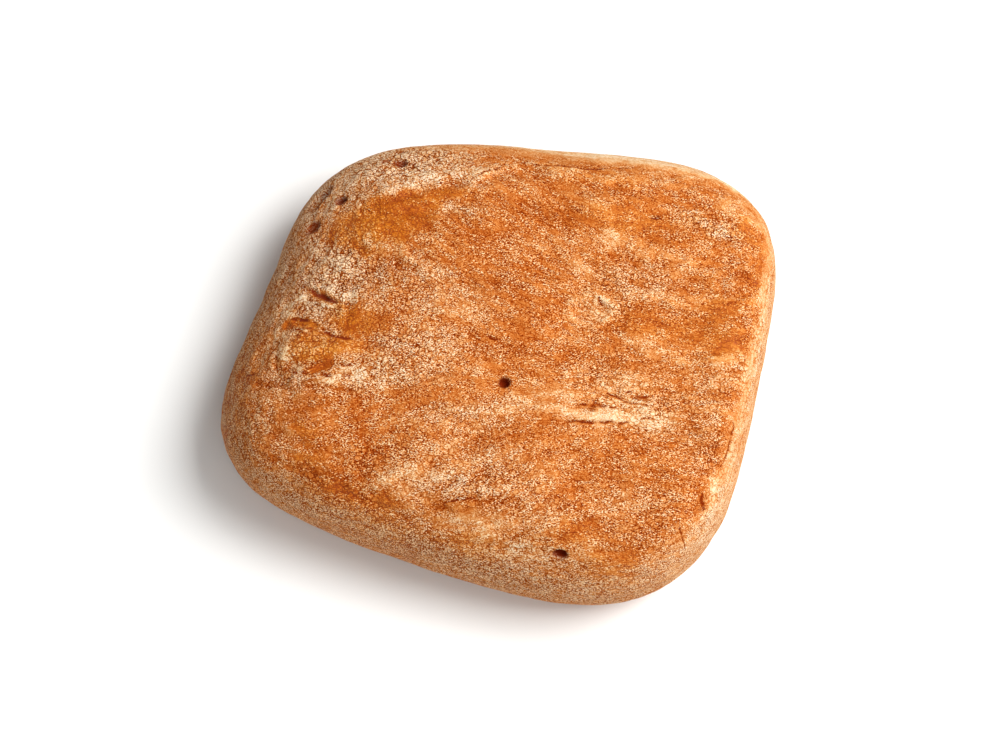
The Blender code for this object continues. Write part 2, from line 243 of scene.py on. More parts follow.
# Patches of the crust: place in plan, length, breadth and bearing in degrees, and strength.
FLOURED = (
    (-28.0, 28.5, 32.0, 13.0, 16.0, 1.3),
    (-39.0, 24.0, 26.0, 10.0, 60.0, 1.3),
    (-43.0, 19.0, 10.0, 8.0, 60.0, 1.0),
    (-36.0, 4.0, 26.0, 34.0, 0.0, 0.8),
    (-46.0, 6.0, 44.0, 14.0, 75.0, 0.3),
    (-33.0, 5.0, 14.0, 12.0, 60.0, 0.8),
    (-22.0, -16.0, 34.0, 6.0, 14.0, 0.8),
    (-15.0, -8.0, 20.0, 10.0, 5.0, 0.6),
    (-8.0, 3.0, 16.0, 9.0, 10.0, 0.35),
    (-18.0, 4.0, 24.0, 10.0, 10.0, 0.55),
    (34.7, 30.1, 12.0, 3.0, 0.0, 1.0),
    (34.3, -12.1, 13.0, 5.0, 12.0, 0.8),
    (24.0, 16.0, 16.0, 8.0, 20.0, 0.4),
    (-42.0, -26.0, 20.0, 18.0, 70.0, 0.15),
    (-12.8, 22.8, 8.0, 4.0, 10.0, 0.7),
    (-6.0, -45.0, 76.0, 9.0, -8.0, 0.3),
    (30.0, -46.0, 30.0, 8.0, 30.0, 0.4),
    (16.0, -35.0, 16.0, 8.0, 10.0, 0.45),
    (-2.0, -20.0, 24.0, 6.0, 10.0, 0.6),
    (0.0, -31.0, 28.0, 14.0, 10.0, 0.55),
    (33.0, -31.0, 18.0, 14.0, 10.0, 0.4),
    (50.0, -27.0, 18.0, 6.0, 75.0, 0.4),
    (13.0, -42.0, 22.0, 6.0, 8.0, 0.6),
    (43.0, -12.0, 18.0, 7.0, 95.0, 0.5),
    (4.0, -16.0, 18.0, 5.0, 10.0, 0.5),
)
CREAM = (
    (-38.6, -17.0, 6.6, 2.0, -12.0, 0.9),
    (-28.5, -16.1, 4.8, 2.0, 10.0, 0.9),
    (-24.4, -16.6, 4.8, 2.0, 5.0, 0.9),
    (-30.8, -18.7, 5.4, 2.0, 8.0, 0.8),
    (-34.6, -15.6, 4.0, 1.2, 15.0, 0.9),
    (-34.9, -3.4, 5.0, 1.8, -5.0, 0.9),
    (-31.6, -0.8, 7.0, 2.0, -5.0, 0.8),
    (-39.6, -2.8, 3.0, 2.4, 0.0, 0.8),
    (-43.1, -4.1, 4.0, 2.6, 0.0, 0.7),
    (12.0, 42.6, 70.0, 6.0, 0.0, 0.7),
    (23.7, -13.0, 19.0, 4.4, 10.0, 0.9),
    (13.0, -12.9, 14.0, 7.0, 12.0, 0.6),
    (25.0, -9.5, 28.0, 12.0, 12.0, 0.4),
    (29.3, -8.9, 10.0, 2.4, 12.0, 0.9),
    (25.4, -6.6, 14.0, 3.6, 12.0, 0.8),
    (33.0, -11.0, 12.0, 3.4, 12.0, 0.8),
    (26.9, -5.0, 16.0, 4.0, 12.0, 0.45),
    (16.8, -6.5, 5.0, 3.5, 12.0, 0.5),
    (17.1, 7.8, 9.0, 7.0, 30.0, 0.65),
    (15.8, 22.4, 7.0, 4.5, 14.0, 0.55),
    (24.3, 22.1, 10.0, 4.0, 5.0, 0.35),
    (12.3, 14.9, 7.0, 6.0, 40.0, 0.55),
    (45.3, 2.3, 11.0, 7.0, 80.0, 0.7),
    (29.0, 3.2, 12.0, 5.0, 10.0, 0.5),
    (4.7, -38.7, 15.0, 5.0, 6.0, 0.6),
    (-8.9, -33.3, 14.0, 3.5, 20.0, 0.5),
    (47.4, -20.1, 5.0, 3.0, 70.0, 0.7),
    (45.5, -34.0, 12.0, 3.0, 60.0, 0.25),
    (34.0, -42.0, 14.0, 4.0, 14.0, 0.2),
    (13.0, -42.0, 22.0, 5.0, 8.0, 0.4),
    (27.0, -38.5, 12.0, 4.0, 10.0, 0.35),
    (50.0, -27.0, 14.0, 5.0, 75.0, 0.15),
    (35.0, -0.5, 18.0, 4.0, 5.0, 0.35),
    (-42.0, -14.0, 7.0, 4.0, 0.0, 0.6),
    (-43.0, -11.5, 6.0, 3.0, 10.0, 0.6),
    (-42.5, -6.3, 5.0, 2.2, 0.0, 0.6),
)
AMBER = (
    (-28.3, 16.6, 17.0, 9.0, 14.0, 1.8),
    (-31.5, 15.5, 12.0, 7.0, 10.0, 1.5),
    (-18.0, -42.2, 34.0, 7.0, -20.0, 0.45),
    (-49.0, -28.0, 24.0, 8.0, 80.0, 0.4),
    (-21.0, 22.4, 16.0, 4.0, 20.0, 1.0),
    (-34.0, 11.0, 12.0, 4.0, -15.0, 0.9),
    (-34.6, -12.7, 13.0, 5.0, 12.0, 1.2),
    (-26.7, -5.4, 12.0, 6.0, 0.0, 0.9),
    (-28.0, -10.6, 10.0, 4.0, -10.0, 0.6),
    (-37.0, -8.8, 9.0, 2.2, -20.0, 0.8),
    (5.0, -43.0, 12.0, 5.0, 10.0, 0.5),
    (24.7, -36.4, 14.0, 5.0, 10.0, 0.5),
    (32.0, -41.0, 8.0, 5.0, 20.0, 0.7),
    (34.4, -38.8, 5.0, 4.0, 30.0, 0.7),
    (42.7, 14.6, 8.0, 5.0, 30.0, 0.75),
    (43.5, 6.9, 9.0, 6.0, 40.0, 0.8),
    (32.0, 7.4, 22.0, 5.0, 8.0, 0.5),
    (20.0, 27.4, 26.0, 7.0, 6.0, 0.5),
    (42.7, 31.7, 6.0, 4.5, -40.0, 0.8),
    (46.6, 24.0, 14.0, 2.5, 92.0, 0.6),
    (-31.2, -29.7, 6.0, 3.6, 20.0, 0.8),
    (-29.5, -34.0, 5.0, 3.0, 20.0, 0.8),
    (-25.0, -38.2, 6.0, 3.0, 10.0, 0.8),
    (-20.0, -38.6, 5.0, 3.0, 20.0, 0.8),
    (-14.1, -39.0, 6.0, 4.0, 20.0, 0.7),
    (12.0, 35.0, 16.0, 6.0, 8.0, 0.4),
    (-0.6, -37.6, 12.0, 2.6, 12.0, 0.3),
)
REDDISH = (
    (-9.0, 17.1, 15.0, 9.0, 0.0, 0.9),
    (4.1, 22.9, 12.0, 8.0, 0.0, 1.0),
    (4.0, 7.8, 16.0, 18.0, 60.0, 1.0),
    (-22.1, -36.2, 16.0, 9.0, 20.0, 0.9),
    (-3.2, -6.5, 9.0, 6.0, 10.0, 0.6),
    (32.8, 15.9, 14.0, 8.0, 10.0, 0.3),
    (30.8, 36.6, 9.0, 4.0, -10.0, 0.9),
    (25.6, -23.8, 9.0, 5.0, 10.0, 0.4),
    (33.0, -34.9, 8.0, 9.0, 60.0, 0.2),
    (39.0, -30.0, 10.0, 8.0, 40.0, 0.3),
    (-24.0, -24.0, 14.0, 9.0, 12.0, 0.2),
    (12.0, 18.5, 16.0, 8.0, 10.0, 0.5),
)
ROUGH = (
    (-35.0, 3.0, 22.0, 18.0, 80.0, 1.0),
    (-38.0, -14.0, 20.0, 12.0, 70.0, 1.0),
    (-16.0, -8.6, 14.0, 8.0, 10.0, 0.5),
    (-25.0, -4.0, 34.0, 44.0, 0.0, 0.25),
    (-49.0, -8.0, 50.0, 14.0, 80.0, 0.6),
    (-44.0, -28.0, 18.0, 14.0, 70.0, 0.6),
    (-29.0, 30.0, 22.0, 8.0, 20.0, 0.7),
    (-33.0, 16.0, 14.0, 9.0, 0.0, 0.5),
    (18.0, 9.0, 14.0, 10.0, 0.0, 0.5),
    (21.0, 14.0, 12.0, 6.0, 10.0, 0.5),
    (21.0, -5.0, 16.0, 8.0, 10.0, 0.6),
    (30.0, -8.0, 22.0, 7.0, 10.0, 0.6),
    (45.6, -4.0, 6.0, 7.0, 90.0, 0.5),
    (47.5, -16.0, 30.0, 4.0, 95.0, 0.45),
    (38.0, -30.4, 14.0, 10.0, 60.0, 0.3),
    (48.4, 8.0, 36.0, 4.0, 90.0, 0.5),
    (38.0, 31.0, 14.0, 5.0, -10.0, 0.7),
    (16.0, -41.0, 16.0, 6.0, 10.0, 0.3),
    (-15.0, -31.0, 18.0, 8.0, 30.0, 0.6),
    (4.0, -32.0, 20.0, 7.0, 14.0, 0.45),
    (-10.0, -42.0, 56.0, 7.0, -10.0, 0.5),
)

PATCH_SEEDS = {"floured": 51, "cream": 61, "amber": 71, "reddish": 81, "rough": 91}

# The noise that pushes a patch's border about: reach, width, and the seed's place after the patch's own.
# Then the streaks and specks inside it: length, breadth, strength, and the seed's place. A patch fades
# out between two shares of its radius, and the cream ones are less ragged.
PATCH_PUSH = ((2.2, 5.0, 0), (0.8, 1.7, 2))
PATCH_STREAKS = ((8.0, 2.2, 0.5, 4), (2.6, 1.1, 0.35, 5))
PATCH_FADE = (1.5, 0.4)
CREAM_RAGGEDNESS = 0.5

# Bare amber skin has shed this share of its flour, and cream plates are as pale as this share of flour.
AMBER_BARENESS = 0.8
CREAM_FLOUR = 0.6

# Where the upward part of the normal passes between these values, all patches but the rough ones end
# towards the underside, the steep wall begins, and the cut sides turn smooth.
UPPER_SKIN = (-0.2, 0.2)
STEEP_SKIN = (0.35, 0.8)
CUT_SKIN = (0.5, 0.92)

# How smooth and evenly floured each side is. The roll was cut from its neighbours on two of them.
CUT_SIDES = {"right": 1.0, "back": 0.9, "left": 0.0, "front": 0.15}

# Lightness of the crust, from 0 for burnt to 1 for thick flour: what each finish adds to it, and what a
# millimetre of height adds. Height is painted light and shade: raised skin is drawn paler and troughs
# darker.
TONE = {
    "bare": 0.53,
    # painted light on raised skin and painted shade in troughs
    "height": 0.50,
    "floured": 0.20,
    "rough": 0.08,
    "cream": 0.20,
    "amber": -0.10,
    "reddish": -0.08,
    "steep": 0.09,
    "cut_side": 0.08,
    "spot": -0.06,
}

# Strength of the fine grain, and of the dark crazing and pits between grains.
GRAIN = {"bare": 0.66, "rough": 0.18, "floured": -0.05, "amber": -0.35, "cream": -0.35, "steep": 0.80,
         "cut_side": -1.05}
CRAZING = {"bare": 0.14, "rough": 0.36, "floured": 0.27, "cream": 0.05, "steep": 0.10, "cut_side": 0.0,
           "spot": -0.30}

# Colours of the crust in equal steps of its lightness.
BARE_COLOURS = ("#782504", "#9A400B", "#B55D20", "#C97737", "#D89354", "#E7B178", "#F2D2A4")
FLOURED_COLOURS = ("#6E2404", "#964311", "#B8662B", "#CF894D", "#DFAB77", "#EBC99F", "#F4DEC0")
AMBER_COLOURS = ("#863402", "#A04604", "#B75908", "#CA7014", "#DC8C34", "#EBB068", "#F4D09A")
# Dark brown inside holes and cracks: partly the crust's own colour, partly painted shade in the recess.
HOLLOW_AND_SHADE_COLOUR = "#742208"
FLOOR_COLOUR = "#F4F4F2"

# Widths of the patterns that the crust's material draws. Grains of dried flour are really a tenth of a
# millimetre wide: they are drawn half as wide again, and their clumps wider still, so that they show.
TOP_CLOUD = 3.4
WALL_CLOUD = 1.3
SMEAR = 1.3
GRAIN_WIDTH = 0.15
CLUMP_WIDTH = 0.26
CRAZING_WIDTH = 1.05
CRAZING_BEND = 0.9
CRAZING_BEND_WIDTH = 0.7
CREASE_WIDTH = 2.0
SKIN_DEPTH = 0.2

# How much longer than broad those patterns are: the clouds along the wall's rim, the smears and creases
# along the flow, and the grains as the flour was combed.
RIM_STRETCH = 5.0
SMEAR_STRETCH = 2.4
CREASE_STRETCH = 4.0
COMBED_STRETCH = 2.0

# What those patterns add to the lightness: clouds, specks less their mean, and cream plates. What a
# grain differs from the mean is scaled by GRAIN_GAIN, and more by GRAIN_SHARPNESS times its size.
CLOUD_STRENGTH = 0.48
SPECK_STRENGTH = 0.6
SPECK_MEAN = 0.09
PLATE_STRENGTH = 0.10
GRAIN_GAIN = 1.75
GRAIN_SHARPNESS = 6.2

# How far smears push the borders of the cream plates, how far smears and grain push those of the cracks,
# in half widths, how floured the cut sides are, and how much of the flour's lightness is relief.
PLATE_RAGGEDNESS = 1.4
TEAR_RAGGEDNESS = 4.5
CUT_SIDE_FLOUR = 0.9
FLOUR_RELIEF = 0.12

# The crust's mesh: cells along a side of its top, rows of its wall, and cells of its underside, each as
# wide as four of the wall's.
TOP_CELLS = 236
WALL_ROWS = 40
BASE_CELLS = TOP_CELLS // 4
BASE_INSET = 0.985
TOP_EDGE_ANGLE = math.radians(40.0)

# --- Camera and light ---------------------------------------------------------------------------------

CAMERA_AZIMUTH = math.radians(14.0)
CAMERA_ELEVATION = math.radians(74.0)
CAMERA_DISTANCE = 480.0
CAMERA_TARGET = (1.0, -4.9, 17.0)
LENS = 85.0

# Softboxes: azimuth and elevation in degrees, distance and size in metres, and power in watts.
SOFTBOXES = {
    "key": (114.0, 57.0, 1.1, 0.6, 15.4),
    "fill": (35.0, 50.0, 1.3, 1.0, 4.6),
}
SKY_STRENGTH = 0.26
FLOOR_SIZE = 4.0


def unit(vectors):
    """The vectors at length 1."""
    return vectors / np.linalg.norm(vectors, axis=-1, keepdims=True)


def smoothstep(start, end, value):
    """0 before start and 1 after end, with a soft cubic ramp between them."""
    share = np.clip((value - start) / (end - start), 0, 1)
    return share**2 * (3 - 2 * share)


# --- The roll's form ----------------------------------------------------------------------------------


def crooked_square():
    """Points of the plan: an arc at each corner, joined by sides that swell by bow times sine squared."""
    places = [np.array(place) for place, _ in CORNERS.values()]
    radii = [radius for _, radius in CORNERS.values()]
    arcs = []
    for corner, (place, radius) in enumerate(zip(places, radii)):
        before = unit(places[corner - 1] - place)
        after = unit(places[(corner + 1) % 4] - place)
        half = math.acos(before @ after) / 2
        centre = place + unit(before + after) * radius / math.sin(half)
        first = place + before * radius / math.tan(half) - centre
        last = place + after * radius / math.tan(half) - centre
        start = math.atan2(first[1], first[0])
        sweep = (math.atan2(last[1], last[0]) - start) % (2 * math.pi)
        angle = start + sweep * np.linspace(0, 1, ARC_SAMPLES)
        arcs.append(centre + radius * np.stack([np.cos(angle), np.sin(angle)], 1))
    pieces = []
    for side, bow in enumerate(BOWS.values()):
        start, end = arcs[side][-1], arcs[(side + 1) % 4][0]
        along = np.linspace(0, 1, ARC_SAMPLES + 2)[1:-1, None]
        outward = unit(np.array([end[1] - start[1], start[0] - end[0]]))
        pieces.append(arcs[side])
        pieces.append(start + (end - start) * along + outward * bow * np.sin(math.pi * along) ** 2)
    return np.concatenate(pieces)


class Plan:
    """The widest contour: the crooked square as a complex function of its length, with only its slowest
    waves kept. It is followed by its turns, 0 at the front right corner, 1 at the back right, to 4."""

    def __init__(self):
        points = crooked_square()
        steps = np.linalg.norm(np.roll(points, -1, 0) - points, axis=1)
        walked = np.concatenate([[0.0], np.cumsum(steps)])
        total = walked[-1]
        even = np.arange(PLAN_SAMPLES) * total / PLAN_SAMPLES
        closed = np.concatenate([points, points[:1]])
        east, north = (np.interp(even, walked, closed[:, axis]) for axis in (0, 1))
        waves = np.fft.fft(east + 1j * north)
        waves[PLAN_HARMONICS + 1 : -PLAN_HARMONICS] = 0
        smooth = np.fft.ifft(waves)
        slope = np.fft.ifft(waves * np.fft.fftfreq(PLAN_SAMPLES) * 2j * math.pi)
        normal = -1j * slope / np.abs(slope)
        self.table = np.stack([smooth.real, smooth.imag, normal.real, normal.imag])
        # An arc and a side have as many points each, and a turn starts in the middle of an arc.
        middles = [walked[corner * 2 * ARC_SAMPLES + ARC_SAMPLES // 2] for corner in range(4)]
        self.corner_samples = np.array([*middles, middles[0] + total]) * PLAN_SAMPLES / total

    def at(self, turns):
        """(points, outward normals) of the contour at these turns."""
        sample = np.interp(turns % 4.0, np.arange(5), self.corner_samples)
        rows = [np.interp(sample, np.arange(PLAN_SAMPLES), row, period=PLAN_SAMPLES) for row in self.table]
        return np.stack(rows[:2], -1), unit(np.stack(rows[2:], -1))

    def beyond(self, points):
        """(points, outward normals) of the contour on the rays from the middle through these points."""
        bearings = np.arctan2(self.table[1], self.table[0])
        order = np.argsort(bearings)
        bearing = np.arctan2(points[:, 1], points[:, 0])
        rows = [np.interp(bearing, bearings[order], row[order], period=2 * math.pi) for row in self.table]
        return np.stack(rows[:2], -1), unit(np.stack(rows[2:], -1))


def by_side(values, normal):
    """A value for each side of the roll, blended by the squares of the normal's parts."""
    east, north = normal[..., 0], normal[..., 1]
    return (
        values["right"] * np.maximum(east, 0) ** 2
        + values["left"] * np.maximum(-east, 0) ** 2
        + values["back"] * np.maximum(north, 0) ** 2
        + values["front"] * np.maximum(-north, 0) ** 2
    )


def level(heights, normal, share):
    """A height that differs from side to side, and levels out to their mean towards the middle."""
    mean = sum(heights.values()) / len(heights)
    return mean + (by_side(heights, normal) - mean) * share**2


def above_contour(rim, normal, share, rise):
    """Points of the upper surface, this share of the way from the middle to the rim. Its height climbs
    by rise from the widest contour to the shoulder, plus a dome of (1 - share squared) squared."""
    low = level(WIDEST_HEIGHT, normal, share)
    high = level(SHOULDER_HEIGHT, normal, share)
    height = low + (high - low) * rise + DOME_HEIGHT * (1 - share**2) ** 2
    return np.stack([rim[:, 0] * share, rim[:, 1] * share, height], -1)


def wall(plan, turns, down):
    """Points of the side, down from 1 at the top's edge to -1 at the floor: a superellipse as wide as
    the shoulder above the widest contour, and one that tucks under below it."""
    rim, normal = plan.at(turns)
    angle = TOP_EDGE_ANGLE - (TOP_EDGE_ANGLE + math.pi / 2) * (1 - down) / 2
    cosine, sine = np.abs(np.cos(angle)), np.abs(np.sin(angle))
    upper, lower = 2 / by_side(SHOULDER_SQUARENESS, normal), 2 / TUCK_SQUARENESS
    reach = np.sum(rim * normal, -1)
    over = 1 - by_side(SHOULDER_WIDTH, normal) * (1 - cosine**upper) / reach
    under = 1 - by_side(TUCK_UNDER, normal) * (1 - cosine**lower) / reach
    turned_in = above_contour(rim, normal, over, sine**upper)
    height = level(WIDEST_HEIGHT, normal, 1.0) * (1 - sine**lower)
    tucked = np.stack([rim[:, 0] * under, rim[:, 1] * under, height], -1)
    return np.where(angle[:, None] >= 0, turned_in, tucked)


def blended_patch(edge, across, deep):
    """Points between four edges: each pair of opposite edges is blended straight across, and the blend
    of the corners is taken off once. Edge gives the points of the border at any turns."""
    east, west = (1 + across)[:, None] / 2, (1 - across)[:, None] / 2
    north, south = (1 + deep)[:, None] / 2, (1 - deep)[:, None] / 2
    corners = edge(np.arange(4.0))
    return (
        east * edge((1 + deep) / 2)
        + north * edge(1 + (1 - across) / 2)
        + west * edge(2 + (1 - deep) / 2)
        + south * edge(3 + (1 + across) / 2)
        - east * south * corners[0]
        - east * north * corners[1]
        - west * north * corners[2]
        - west * south * corners[3]
    )


def top(plan, across, deep):
    """Points of the top, blended in plan from the wall's upper edge, with the wall's own superellipse
    giving their height from their distance to the rim."""
    place = blended_patch(lambda turns: wall(plan, turns, np.ones_like(turns)), across, deep)[:, :2]
    rim, normal = plan.beyond(place)
    share = np.linalg.norm(place, axis=1) / np.linalg.norm(rim, axis=1)
    inset = (1 - share) * np.sum(rim * normal, -1)
    squareness = by_side(SHOULDER_SQUARENESS, normal)
    unturned = np.clip(1 - inset / by_side(SHOULDER_WIDTH, normal), 0, 1)
    return above_contour(rim, normal, share, (1 - unturned**squareness) ** (1 / squareness))


def underside(plan, across, deep):
    """Points of the flat underside, blended from the wall's lowest row drawn in a little."""

    def edge(turns):
        return wall(plan, turns, -np.ones_like(turns)) * BASE_INSET

    return blended_patch(edge, across, deep)


# --- Noise and relief ---------------------------------------------------------------------------------


def noise(points, seed):
    """Gradient noise, from about -1 to 1, with cells one unit wide and a seeded table of slopes."""
    slopes = unit(np.random.default_rng(seed).normal(size=(NOISE_TABLE, NOISE_TABLE, NOISE_TABLE, 3)))
    cell = np.floor(points).astype(int)
    inside = points - cell
    fade = inside**3 * (inside * (inside * 6 - 15) + 10)
    total = np.zeros(len(points))
    for corner in np.ndindex(2, 2, 2):
        slope = slopes[tuple(((cell + corner) % NOISE_TABLE).T)]
        weight = np.prod(np.where(corner, fade, 1 - fade), -1)
        total += weight * np.sum(slope * (inside - corner), -1)
    return total * NOISE_GAIN


def turned(points, bearing):
    """The points in axes whose first lies along this bearing in plan."""
    cosine, sine = math.cos(bearing), math.sin(bearing)
    along, across = points @ [cosine, sine, 0], points @ [-sine, cosine, 0]
    return np.stack([along, across, points[:, 2]], -1)


def flow_lines(points):
    """Coordinates along and across the lines that the dough was stretched in: turned to the fold
    bearing, spread like a fan towards the left, and bent by slow noise."""
    lying = turned(points, FOLD_BEARING)
    left = FAN_START - lying[:, 0]
    spread = 1 + (left + np.hypot(left, FAN_START)) / 2 / FAN_LENGTH
    bends = [FLOW_BEND * noise(points / FLOW_BEND_LENGTH, seed) for seed in FLOW_BEND_SEEDS]
    across = (lying[:, 1] - FAN_MIDDLE) / spread
    return np.stack([lying[:, 0] + bends[0], across + bends[1], lying[:, 2]], -1)


def wavering(points, layers):
    """Sum of plain noise layers, each of its reach and width, and the same in every direction."""
    return sum(reach * noise(points / width, seed) for reach, width, seed in layers)


def soft_layers(lying, layers):
    """Sum of plain noise layers, each stretched to its length and breadth."""
    return sum(height * noise(lying / [length, breadth, breadth], seed)
               for length, breadth, height, seed in layers)


def creased_layers(lying, layers):
    """Sum of folded noise layers: the absolute value of noise, which is sharp in its creases, less its
    usual level."""
    return sum(height * (np.abs(noise(lying / [length, breadth, breadth], seed)) - FOLD_LEVEL)
               for length, breadth, height, seed in layers)


def free_of_floor(points):
    """0 on the underside, rising to 1 at the height where the relief is free."""
    return smoothstep(0, RELIEF_FREE_HEIGHT, points[:, 2])


def broad_relief(points, normals):
    """Height of the swellings and stretch folds, which the solid has too."""
    facing_up = WALL_RELIEF + (1 - WALL_RELIEF) * np.maximum(normals[:, 2], 0) ** 2
    lying = turned(points, FOLD_BEARING)
    height = soft_layers(lying, SWELLINGS) + creased_layers(lying, FOLDS)
    return height * facing_up * free_of_floor(points)


def dents(points, normals, rows):
    """(depth, strength) of holes or bare spots. Each is a half ellipsoid whose long axis lies on the
    crust along its bearing, and whose depth goes straight in. It reaches twice its length up and down,
    so that the crust's swellings don't cut it off, and noise makes its border ragged."""
    depth = np.zeros(len(points))
    strength = np.zeros(len(points))
    rag = wavering(points, HOLE_RAG)
    for place, (length, width, deep), bearing, strongest in rows.values():
        away = np.linalg.norm(points[:, :2] - place, axis=1)
        middle = np.argmin(np.where(normals[:, 2] > 0, away, np.inf))
        heading = [math.cos(math.radians(bearing)), math.sin(math.radians(bearing)), 0]
        across = unit(np.cross(normals[middle], heading))
        along = np.cross(across, normals[middle])
        offset = points - points[middle]
        reach = np.sqrt(
            (offset @ along / length * 2) ** 2
            + (offset @ across / width * 2) ** 2
            + (offset @ normals[middle] / max(length, deep) / 2) ** 2
        )
        bowl = np.sqrt(np.maximum(1 - (reach + rag) ** 2, 0))
        depth = np.maximum(depth, deep * bowl)
        strength = np.maximum(strength, strongest * smoothstep(*HOLE_FADE, reach + rag))
    return depth, strength


def beside_arc(points, start, end, sag):
    """(distance aside, taper) of points from an arc: a chord with a parabolic sag. The taper is 1 in
    the arc's middle and 0 beyond its ends."""
    start, end = np.array(start), np.array(end)
    length = np.linalg.norm(end - start)
    ahead = (end - start) / length
    offset = points[:, :2] - start
    along = offset @ ahead / length
    aside = offset @ [-ahead[1], ahead[0]] + 4 * sag * along * (1 - along)
    return aside, np.sqrt(np.clip(4 * along * (1 - along), 0, 1))


def bell(value):
    """A bell curve: 1 at 0, falling off on both sides as e to the power of minus the square."""
    return np.exp(-(value**2))


def fold_heights(points, normals):
    """Height of the named folds and rings: a crest that falls off like a bell curve on both sides, less
    a shallower bell for the trough beside it, which is inside a ring. Rings and narrow folds waver less
    than broad folds."""
    waver = wavering(points, FOLD_WAVER)
    height = np.zeros(len(points))
    for start, end, sag, breadth, rise in FOLD_LINES.values():
        aside, taper = beside_arc(points, start, end, sag)
        aside = (aside + waver * min(breadth, 1.0)) / breadth
        depth, distance = FOLD_TROUGH
        height += rise * taper * (bell(aside) - depth * bell(aside + distance))
    for place, along_radius, across_radius, rise in RINGS.values():
        offset = turned(points - [*place, 0], FOLD_BEARING) / [along_radius, across_radius, 1]
        aside = (np.hypot(offset[:, 0], offset[:, 1]) - 1) * across_radius + waver / 2
        depth, distance = RING_TROUGH
        height += rise * bell(aside / RING_BREADTH)
        height -= rise * depth * bell((aside + distance) / RING_TROUGH_BREADTH)
    strength = FOLD_STRENGTH + wavering(points, FOLD_UNEVENNESS)
    return height * strength * smoothstep(*WALL_FADE, normals[:, 2])


def crack_lines(points, normals):
    """(depth, lips, aside, near) of the cracks. Each follows an arc, is widest and deepest in its middle,
    tapers to its ends, and wavers by a little noise. Lips are the raised skin beside it. Aside is the
    distance across the nearest crack in its half widths, with a sign, and near is 1 beside a crack, but
    0 where noise closes it."""
    depth = np.zeros(len(points))
    lips = np.zeros(len(points))
    near = np.zeros(len(points))
    nearest = np.full(len(points), CRACK_REACH)
    waver = wavering(points, CRACK_WAVER)
    for start, end, sag, width, deep in CRACKS.values():
        aside, taper = beside_arc(points, start, end, sag)
        aside += waver
        half = np.maximum(width / 2 * taper, TINY)
        depth = np.maximum(depth, deep * taper * smoothstep(CRACK_FADE, 0, np.abs(aside) / half))
        lips = np.maximum(lips, taper * smoothstep(*LIP_FADE, np.abs(aside)))
        near = np.maximum(near, smoothstep(0, TEAR_END, taper) * smoothstep(*TEAR_FADE, np.abs(aside)))
        aside = np.where(taper > 0, aside / half, CRACK_REACH)
        nearest = np.where(np.abs(aside) < np.abs(nearest), aside, nearest)
    upward = smoothstep(*WALL_FADE, normals[:, 2])
    near *= smoothstep(*CRACK_BREAK_LEVELS, wavering(points, CRACK_BREAKS))
    return depth * upward, lips * upward, nearest, near * upward


def patches(points, rows, seed, raggedness=1.0):
    """How far each point is inside these patches, 0 to 1. A patch is an ellipse on coordinates that
    noise has pushed about, so that its border is ragged, and streaks and specks along the flow of the
    dough thin it out."""
    push = np.stack([
        wavering(points, [(reach, width, seed + place + axis) for reach, width, place in PATCH_PUSH])
        for axis in (0, 1)
    ], -1)
    pushed = points[:, :2] + push * raggedness
    inside = np.zeros(len(points))
    for east, north, length, breadth, bearing, strength in rows:
        angle = math.radians(bearing)
        offset = pushed - [east, north]
        along = offset @ [math.cos(angle), math.sin(angle)] / length * 2
        across = offset @ [-math.sin(angle), math.cos(angle)] / breadth * 2
        inside = np.maximum(inside, strength * smoothstep(*PATCH_FADE, np.hypot(along, across)))
    streaks = [(length, breadth, share, seed + place) for length, breadth, share, place in PATCH_STREAKS]
    return np.clip(inside * (1 + soft_layers(flow_lines(points), streaks)), 0, 1)


# --- The crust's mesh ---------------------------------------------------------------------------------


def border(cells):
    """Indices of the border of a square grid of vertices, from the front right corner round."""
    side = np.arange(cells)
    row = cells + 1
    return np.concatenate([
        side * row + cells,
        cells * row + cells - side,
        (cells - side) * row,
        side,
    ])


def grid_faces(cells):
    """Quads of a square grid of vertices, anticlockwise from above."""
    row = cells + 1
    first = (np.arange(cells)[:, None] * row + np.arange(cells)).ravel()
    return np.stack([first, first + 1, first + row + 1, first + row], -1)


def crust_grid():
    """(points, faces) of the closed crust: a square grid over the top, rows of quads down the wall, and
    a coarser grid underneath, joined to the last row by a ring of triangles, five to a coarse cell."""
    plan = Plan()
    fine = np.linspace(-1, 1, TOP_CELLS + 1)
    coarse = np.linspace(-1, 1, BASE_CELLS + 1)
    deep, across = (axis.ravel() for axis in np.meshgrid(fine, fine, indexing="ij"))
    base_deep, base_across = (axis.ravel() for axis in np.meshgrid(coarse, coarse, indexing="ij"))
    around = 4 * TOP_CELLS
    down, turns = np.meshgrid(
        np.linspace(1, -1, WALL_ROWS + 1)[1:], np.arange(around) / TOP_CELLS, indexing="ij"
    )
    points = np.concatenate([
        top(plan, across, deep),
        wall(plan, turns.ravel(), down.ravel()),
        underside(plan, base_across, base_deep),
    ])

    wall_start = (TOP_CELLS + 1) ** 2
    base_start = wall_start + around * WALL_ROWS
    rows = np.concatenate([
        border(TOP_CELLS)[None],
        wall_start + np.arange(around * WALL_ROWS).reshape(WALL_ROWS, around),
    ])
    beside = np.roll(rows, -1, 1)
    wall_faces = np.stack([rows[:-1], rows[1:], beside[1:], beside[:-1]], -1).reshape(-1, 4)
    base_faces = base_start + grid_faces(BASE_CELLS)[:, ::-1]

    outer = rows[-1].reshape(-1, 4)
    outer_next = np.roll(rows[-1], -4).reshape(-1, 4)[:, 0]
    inner = base_start + border(BASE_CELLS)
    inner_next = np.roll(inner, -1)
    ring = np.concatenate([
        np.stack([outer[:, 0], inner, outer[:, 1]], -1),
        np.stack([outer[:, 1], inner, outer[:, 2]], -1),
        np.stack([outer[:, 2], inner, inner_next], -1),
        np.stack([outer[:, 2], inner_next, outer[:, 3]], -1),
        np.stack([outer[:, 3], inner_next, outer_next], -1),
    ])
    faces = [grid_faces(TOP_CELLS), wall_faces, base_faces, ring]
    return points, [face for group in faces for face in group.tolist()]


